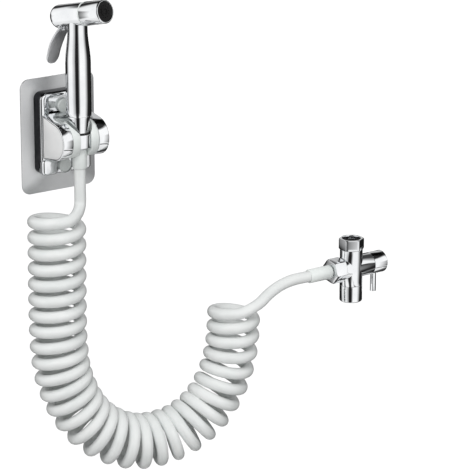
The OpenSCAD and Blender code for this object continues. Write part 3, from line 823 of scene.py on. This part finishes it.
def pivot_ring(radius, x):
    """A circle about the pivot, with one point facing each point of the arm's outline."""
    ring = []
    for _, y, z in arm_ring(0, 0):
        a = math.atan2(z - PIVOT[1], -y - PIVOT[0])
        ring.append((x, -(PIVOT[0] + radius * math.cos(a)), PIVOT[1] + radius * math.sin(a)))
    return ring


bracket_verts, bracket_faces = [], []
tray = [
    tray_ring(*TRAY_HOLLOW, PANEL_BACK),
    tray_ring(*TRAY_HOLLOW, PLATE_FRONT),
    tray_ring(*TRAY, PLATE_FRONT),
    tray_ring(*TRAY, PLATE_FRONT + 0.4),
]
skirt_start = len(tray) - 1
rim = rolled(*TRAY, TRAY_FRONT, EDGE_R)
tray += [round_cap(ring, 7.75 - 0.05 * k) for k, ring in enumerate(rim)]
skirt_end = skirt_start + 3
# from the tray's front rim down into its recess
recess = [
    tray_ring(37.4, 72.4, 3.7, TRAY_FRONT),
    tray_ring(36.4, 71.4, 3.2, TRAY_FRONT - 0.2),
    tray_ring(36.0, 71.0, 3.0, TRAY_FRONT - 0.7),
    tray_ring(36.0, 71.0, 3.0, PANEL_FRONT + 0.6),
    tray_ring(35.6, 70.6, 2.8, PANEL_FRONT + 0.15),
    tray_ring(34.8, 69.8, 2.4, PANEL_FRONT),
]
tray += [round_cap(ring, max(7.1, 7.35 - 0.1 * k)) for k, ring in enumerate(recess)]
loft(bracket_verts, bracket_faces, tray)
skirt_faces = range(skirt_start * len(tray[0]), skirt_end * len(tray[0]))
for side in (-1, 1):
    arm = [
        pivot_ring(SCREW_HOLE_R, side * ARM_IN),
        arm_ring(0.5, side * ARM_IN),
        arm_ring(0.15, side * (ARM_IN + 0.15)),
        arm_ring(0, side * (ARM_IN + 0.5)),
        arm_ring(0, side * (ARM_OUT - 0.8)),
        arm_ring(0.11, side * (ARM_OUT - 0.4)),
        arm_ring(0.4, side * (ARM_OUT - 0.11)),
        arm_ring(0.8, side * ARM_OUT),
        arm_ring(CHEEK_BORDER - 0.1, side * ARM_OUT),
        arm_ring(CHEEK_BORDER, side * (ARM_OUT - 0.1)),
        arm_ring(CHEEK_BORDER, side * (ARM_OUT - CHEEK_T)),
        pivot_ring(CHEEK_HOLE_R, side * (ARM_OUT - CHEEK_T)),
        pivot_ring(CHEEK_HOLE_R, side * HOLE_STEP),
        pivot_ring(PIVOT_HOLE_R, side * HOLE_STEP),
        pivot_ring(PIVOT_HOLE_R, side * HOLE_FLOOR),
        pivot_ring(SCREW_HOLE_R, side * HOLE_FLOOR),
    ]
    if side < 0:
        arm = [ring[::-1] for ring in arm]
    loft(bracket_verts, bracket_faces, arm, closed=True)
    foot = [tray_ring(*FOOT, PANEL_FRONT - 1, side * FOOT_X, FOOT_Z)]
    foot += rolled(*FOOT, FOOT_FRONT, FOOT_EDGE_R, side * FOOT_X, FOOT_Z)
    loft(bracket_verts, bracket_faces, foot)

# the saddle joins the two arms behind the drum, and slopes as they do
SADDLE_ROOT = TRAY_FRONT - 1
SADDLE_OUT = 22.0
SADDLE_EDGE = 0.6
DRUM_GAP_R = 17.9
ARM_HIGH_POINT = (37.25, 18.5)
ARM_LOW_POINT = (36.0, -17.09)
top_slope = (ARM_TOP - ARM_HIGH_POINT[1]) / (SADDLE_ROOT - ARM_HIGH_POINT[0])
low_slope = (ARM_BOTTOM - ARM_LOW_POINT[1]) / (SADDLE_ROOT - ARM_LOW_POINT[0])
reach = SADDLE_OUT - SADDLE_ROOT
saddle = [(SADDLE_ROOT, ARM_TOP)]
saddle.append((SADDLE_OUT - SADDLE_EDGE, ARM_TOP + top_slope * (reach - SADDLE_EDGE)))
saddle.append((SADDLE_OUT, ARM_TOP + top_slope * reach - SADDLE_EDGE))
span = math.acos((PIVOT[0] - SADDLE_OUT) / DRUM_GAP_R)
for k in range(17):
    a = math.pi - span + 2 * span * k / 16
    saddle.append((PIVOT[0] + DRUM_GAP_R * math.cos(a), PIVOT[1] + DRUM_GAP_R * math.sin(a)))
saddle.append((SADDLE_OUT, ARM_BOTTOM + low_slope * reach + SADDLE_EDGE))
saddle.append((SADDLE_OUT - SADDLE_EDGE, ARM_BOTTOM + low_slope * (reach - SADDLE_EDGE)))
saddle.append((SADDLE_ROOT, ARM_BOTTOM))
loft(
    bracket_verts,
    bracket_faces,
    [[(x, -out, z) for out, z in saddle] for x in (-ARM_IN - 0.1, ARM_IN + 0.1)],
)
bracket = mesh_piece("bracket", bracket_verts, bracket_faces, chrome, crease_deg=30)
# the skirt gets a darker, rougher copy of the chrome: painted dark reflection on the tray's side
skirt_chrome_painted_dark = wavy(
    *plain_material("chrome plating on ABS, painted dark reflection", "#4a4b4e", "#5a5b5e", 0.10, 0.18, Metallic=1.0),
    size_mm=9,
    height_mm=0.02,
)
# the skirt's faces take that darker copy of the chrome: painted dark reflection
bracket.data.materials.append(skirt_chrome_painted_dark)
for k in skirt_faces:
    bracket.data.polygons[k].material_index = 1
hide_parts("bracket_housing")
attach(bracket, "root")

# an even pale silver that spreads its highlight
silver = plain_material(
    "satin silver lacquer on ABS", "#e8e9e9", "#f0f0f0", 0.36, 0.44, Specular_IOR_Level=0.5
)[0]
for side, name in ((-1, "left"), (1, "right")):
    verts, faces = [], []
    rings = [
        arm_ring(CHEEK_BORDER + 0.05, side * (ARM_OUT - CHEEK_T)),
        arm_ring(CHEEK_BORDER + 0.05, side * (ARM_OUT - 0.25)),
        arm_ring(CHEEK_BORDER + 0.12, side * (ARM_OUT - 0.08)),
        arm_ring(CHEEK_BORDER + 0.3, side * ARM_OUT),
    ]
    if side < 0:
        rings = [ring[::-1] for ring in rings]
    loft(verts, faces, rings)
    cheek = mesh_piece("cheek_" + name, verts, faces, silver)
    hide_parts("cheek_cover_" + name)
    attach(cheek, "root")


# ---------------------------------------------------------------- handle
# A plated tube, 24 mm across, that narrows smoothly towards the head and is cut
# to sit against its underside.
HANDLE_R = 12.0
HANDLE_WALL = 2.4
NECK_R = 9.4
HANDLE_LOW_Z = 24.3
TAPER_Z = 74.0
HEAD_Z = 120.6
NECK_Z = HEAD_Z - 12
HEAD_R = 11.2
HEAD_YAW = math.radians(12.4)
HEAD_TILT = math.radians(12.5)
HANDSET = Matrix.Translation(mm(0, 39, 0))
HEAD_TURN = Matrix.Rotation(HEAD_YAW - math.pi / 2, 4, "Z")
HEAD_LEVEL = Matrix.Translation(mm(0, 39, HEAD_Z)) @ HEAD_TURN
HEAD = HEAD_LEVEL @ Matrix.Rotation(-HEAD_TILT, 4, "Y")
SINK = 0.6  # how far the handle's top runs into the head


def ring_solid(name, rings, place, material, sides=96, crease_deg=32):
    """A round solid from closed rings of (radius, height) in mm.

    A height is a number, or a function of the angle round the solid.
    """
    verts, faces = [], []
    for r, h in rings:
        for k in range(sides):
            a = 2 * math.pi * k / sides
            high = h(a) if callable(h) else h
            verts.append(place @ (Vector((r * math.cos(a), r * math.sin(a), high)) * 0.001))
    count = len(rings)
    for i in range(count):
        for k in range(sides):
            a, b = i * sides + k, i * sides + (k + 1) % sides
            c, d = ((i + 1) % count) * sides + (k + 1) % sides, ((i + 1) % count) * sides + k
            faces.append((a, b, c, d))
    return mesh_piece(name, verts, faces, material, crease_deg=crease_deg)


def under_head(r, sink):
    """Height at which a handle of this radius meets the head, by the angle round the handle."""
    nx = math.sin(HEAD_YAW) * math.cos(HEAD_TILT)
    ny = -math.cos(HEAD_YAW) * math.cos(HEAD_TILT)
    nz = math.sin(HEAD_TILT)
    reach = HEAD_R - sink

    def height(a):
        along = r * math.cos(a) * nx + r * math.sin(a) * ny
        level = 1 - nz * nz
        root = math.sqrt(max(0.0, along**2 * nz**2 + level * (reach**2 + along**2 - r**2)))
        return HEAD_Z + (along * nz - root) / level

    return height


handle_outer = [
    (HANDLE_R, HANDLE_LOW_Z + 0.5),
    (HANDLE_R, 40),
    (HANDLE_R, 60),
    (HANDLE_R, TAPER_Z - 2),
]
for k in range(25):
    share = k / 24
    r = NECK_R + (HANDLE_R - NECK_R) * (1 + math.cos(math.pi * share)) / 2
    handle_outer.append((r, TAPER_Z + (NECK_Z - 1.5 - TAPER_Z) * share))
handle_inner = [
    (NECK_R - HANDLE_WALL, under_head(NECK_R - HANDLE_WALL, SINK)),
    (NECK_R - HANDLE_WALL, NECK_Z - 3),
    (HANDLE_R - HANDLE_WALL, TAPER_Z - 2),
    (HANDLE_R - HANDLE_WALL, HANDLE_LOW_Z),
    (HANDLE_R - 0.5, HANDLE_LOW_Z),
    (HANDLE_R - 0.15, HANDLE_LOW_Z + 0.15),
]
handle = ring_solid(
    "handle",
    [*handle_outer, (NECK_R, under_head(NECK_R, SINK)), *handle_inner],
    HANDSET,
    chrome,
)
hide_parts("handle_shell")
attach(handle, "handset")


# ---------------------------------------------------------------- trigger lever
# A zinc paddle with rolled edges and satin nickel plating. It hangs from a pin in a slot
# under the head and bows away from the handle.
# Sizes are in mm, from the middle of the head.
LEVER_T = 2.6
BLADE_LINE = [(-17, -13), (-20.5, -18.5), (-25.5, -26), (-30, -35), (-33, -44), (-34.8, -51.5)]
SIDE_SQUARENESS = 0.35  # 1 would make the paddle's section an oval, and 0 a box
FACE_SQUARENESS = 0.55
DISH = 0.2
THINS_UNDER = 2.2  # half the width at which the tip starts to thin
LEAST_HALF = 0.35
BLADE_HALF = [
    # height under the head's middle, half the paddle's width
    (-13, 4.6),
    (-14.6, 7.0),
    (-17.6, 7.6),
    (-22, 8.1),
    (-30, 8.5),
    (-43.5, 8.0),
]
TIP_R = 8.0


def blade_half(z):
    """Half the paddle's width at a height."""
    tip_z = BLADE_LINE[-1][1] + TIP_R
    if z < tip_z:
        return math.sqrt(max(0.0, TIP_R**2 - (tip_z - z) ** 2))
    for (za, wa), (zb, wb) in zip(BLADE_HALF, BLADE_HALF[1:]):
        if z >= zb:
            t = (za - z) / (za - zb)
            t = t * t * (3 - 2 * t)
            return wa + (wb - wa) * max(0.0, min(1.0, t))
    return BLADE_HALF[-1][1]


def lever_mesh():
    """The paddle: its points and faces."""
    line = spline([Vector((x, 0, z)) for x, z in BLADE_LINE], 12)
    around = 28
    verts, faces = [], []
    rows = []
    for i, p in enumerate(line):
        ahead = (line[min(i + 1, len(line) - 1)] - line[max(i - 1, 0)]).normalized()
        out = Vector((ahead.z, 0, -ahead.x))
        half = max(blade_half(p.z), LEAST_HALF)
        thick = LEVER_T / 2 * min(1.0, (half / THINS_UNDER) ** 0.5)
        row = []
        for k in range(around):
            a = 2 * math.pi * k / around
            c, s = math.cos(a), math.sin(a)
            side = math.copysign(abs(c) ** SIDE_SQUARENESS, c)
            deep = math.copysign(abs(s) ** FACE_SQUARENESS, s)
            dish = DISH * (1 - side * side) * min(1.0, half / 7)
            row.append(p + Vector((0, side * half, 0)) + out * (deep * thick - dish))
        rows.append(row)
    for row in rows:
        verts.extend(HEAD_LEVEL @ (v * 0.001) for v in row)
    for i in range(len(rows) - 1):
        for k in range(around):
            a, b = i * around + k, i * around + (k + 1) % around
            faces.append((a, b, b + around, a + around))
    faces.append(tuple(range(around))[::-1])
    faces.append(tuple((len(rows) - 1) * around + k for k in range(around)))
    return verts, faces


def box_part(verts, faces, place, low, high):
    """Adds a block between two corners in mm to a list of points and faces."""
    base = len(verts)
    for x in (low[0], high[0]):
        for y in (low[1], high[1]):
            for z in (low[2], high[2]):
                verts.append(place @ (Vector((x, y, z)) * 0.001))
    quads = (
        (0, 1, 3, 2),
        (4, 6, 7, 5),
        (0, 4, 5, 1),
        (2, 3, 7, 6),
        (0, 2, 6, 4),
        (1, 5, 7, 3),
    )
    for quad in quads:
        faces.append(tuple(base + q for q in quad))


def pin_part(verts, faces, place, centre, half, r, bore, sides=40):
    """Adds a short round boss with a bore, lying across the head, to a list of points and faces."""
    base = len(verts)
    for y, radius in ((-half, bore), (-half, r), (half, r), (half, bore)):
        for k in range(sides):
            a = 2 * math.pi * k / sides
            p = Vector((centre[0] + radius * math.cos(a), y, centre[1] + radius * math.sin(a)))
            verts.append(place @ (p * 0.001))
    for i in range(4):
        for k in range(sides):
            a, b = i * sides + k, i * sides + (k + 1) % sides
            c, d = ((i + 1) % 4) * sides + (k + 1) % sides, ((i + 1) % 4) * sides + k
            faces.append(tuple(base + q for q in (a, b, c, d)))


HINGE = (-20, -8.5)
HINGE_HALF = 3.1
HINGE_R = 3.0
PIN_HOLE_R = 1.55
LUG_IN = 1.8
lever_verts, lever_faces = lever_mesh()
pin_part(lever_verts, lever_faces, HEAD, HINGE, HINGE_HALF, HINGE_R, PIN_HOLE_R)
box_part(
    lever_verts,
    lever_faces,
    HEAD,
    (HINGE[0] - 1.5, -HINGE_HALF, HINGE[1] - 4.4),
    (HINGE[0] + 2.9, HINGE_HALF, HINGE[1] - 2.2),
)
for low, high in ((-HINGE_HALF, -LUG_IN), (LUG_IN, HINGE_HALF)):
    box_part(
        lever_verts,
        lever_faces,
        HEAD,
        (HINGE[0] - 1.2, low, HINGE[1] + 2.4),
        (HINGE[0] + 1.2, high, 2),
    )
# a soft grey metal, whose reflections blur together
nickel = plain_material(
    "satin nickel plating on zinc", "#d6d7d9", "#e2e3e5", 0.30, 0.38, Metallic=1.0
)[0]
lever = mesh_piece("lever", lever_verts, lever_faces, nickel, crease_deg=40)
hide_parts("trigger_lever")
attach(lever, "lever")


# ---------------------------------------------------------------- wall plate and pad
# A stamped stainless plate with a satin face, brushed along its width, stuck to the wall
# by a dark foam pad with an adhesive skin.
# a soft grey sheen, drawn out sideways by the fine lines of the brushing
satin, satin_body, satin_where = plain_material(
    "brushed stainless steel",
    "#c4c5c6",
    "#d4d5d6",
    0.38,
    0.46,
    grain_mm=70,
    Metallic=1.0,
)
BRUSH_PER_M = (30.0, 400.0, 2600.0)  # the lines are 33 mm long and 0.4 mm apart
tree = satin.node_tree
stretch = node(
    tree, "ShaderNodeMapping", Vector=satin_where.outputs["Object"], Scale=BRUSH_PER_M
)
lines = node(tree, "ShaderNodeTexNoise", Vector=stretch.outputs[0], Scale=1.0, Detail=3.0)
brush = node(tree, "ShaderNodeBump", Strength=0.10, Distance=0.0001, Height=lines.outputs["Fac"])
tree.links.new(brush.outputs["Normal"], satin_body.inputs["Normal"])
dress("wall_plate", satin, 0.3)
# dark grey and dull, with a pitted skin
foam = wavy(
    *plain_material("closed-cell foam", "#55565a", "#66676b", 0.8, 0.9),
    size_mm=1.2,
    height_mm=0.2,
)
dress("adhesive_pad", foam)


# ---------------------------------------------------------------- screw caps
# Two round snap-in caps of satin pale grey ABS hide the screws.
# smooth pale grey with a broad, soft highlight
cap_grey = plain_material("satin pale grey ABS", "#d6dbd9", "#e0e4e2", 0.30, 0.40)[0]
dress("screw_cap_top", cap_grey, 0.3)
dress("screw_cap_bottom", cap_grey, 0.3)


# ---------------------------------------------------------------- white plastic parts
# Moulded acetal in the cradle and on the hose ends: a cool white with a low gloss.
# cool white, with a highlight that wavers a little
acetal = wavy(
    *plain_material("moulded white acetal", "#dfe4e2", "#eaeeec", 0.28, 0.36, IOR=1.48),
    size_mm=3,
    height_mm=0.01,
)
for name in ("cradle_drum", "hose_sleeve_top", "hose_sleeve_tap"):
    dress(name, acetal, 0.35)
for name in ("head_ring", "handle_core", "nozzle_insert"):
    dress(name, acetal, 0.15)


# ---------------------------------------------------------------- small parts inside
# Seals are black rubber, the pins, screws and spring are steel, and the valve and diverter
# inserts are turned brass. The spray face and the aerator are moulded, and press in.
# near black and dull
rubber = wavy(
    *plain_material("black nitrile rubber", "#141414", "#1e1e1f", 0.55, 0.7),
    size_mm=0.8,
    height_mm=0.03,
)
for name in (
    "tail_washer",
    "nut_gasket",
    "friction_rings",
    "valve_seal",
    "tap_hose_gasket",
    "inlet_washer",
    "collar_seal",
    "spool_seals",
):
    dress(name, rubber)
# the spray face: black, with a faint gloss
black = plain_material(
    "moulded black ABS", "#060606", "#0a0a0a", 0.28, 0.4, Specular_IOR_Level=0.3
)[0]
dress("spray_face", black)
# clean grey metal with slightly blurred reflections
steel = plain_material("bright steel", "#b9babc", "#cacbcc", 0.18, 0.28, Metallic=1.0)[0]
for name in ("bracket_screws", "pivot_screws", "lever_pin", "valve_stem", "nut_clip", "knob_screw"):
    dress(name, steel)
# the spring closes up as the lever draws the stem back
SPRING_ENDS = (-8.45, 2.85)
SPRING_COILS = 5
SPRING_R = 3.2
SPRING_WIRE_R = 0.0005
POINTS_PER_COIL = 20
spring_steps = SPRING_COILS * POINTS_PER_COIL
coiled = []
for k in range(spring_steps + 1):
    a = 2 * math.pi * k / POINTS_PER_COIL
    x = SPRING_ENDS[0] + (SPRING_ENDS[1] - SPRING_ENDS[0]) * k / spring_steps
    coiled.append(HEAD @ (Vector((x, -SPRING_R * math.cos(a), SPRING_R * math.sin(a))) * 0.001))
spring = tube_mesh("spring", coiled, [SPRING_WIRE_R] * len(coiled), steel, sides=10)
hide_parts("valve_spring")
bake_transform(spring)
# warm yellow metal from the lathe
brass = plain_material("turned brass", "#b58f45", "#c9a355", 0.2, 0.3, Metallic=1.0)[0]
for name in ("hose_barb_top", "hose_barb_tap", "valve_seat", "stem_gland", "spool", "spool_gland"):
    dress(name, brass)
# the aerator: plain matt grey
grey_plastic = plain_material("moulded grey acetal", "#b9bdbc", "#c6c9c8", 0.35, 0.45)[0]
dress("aerator", grey_plastic)
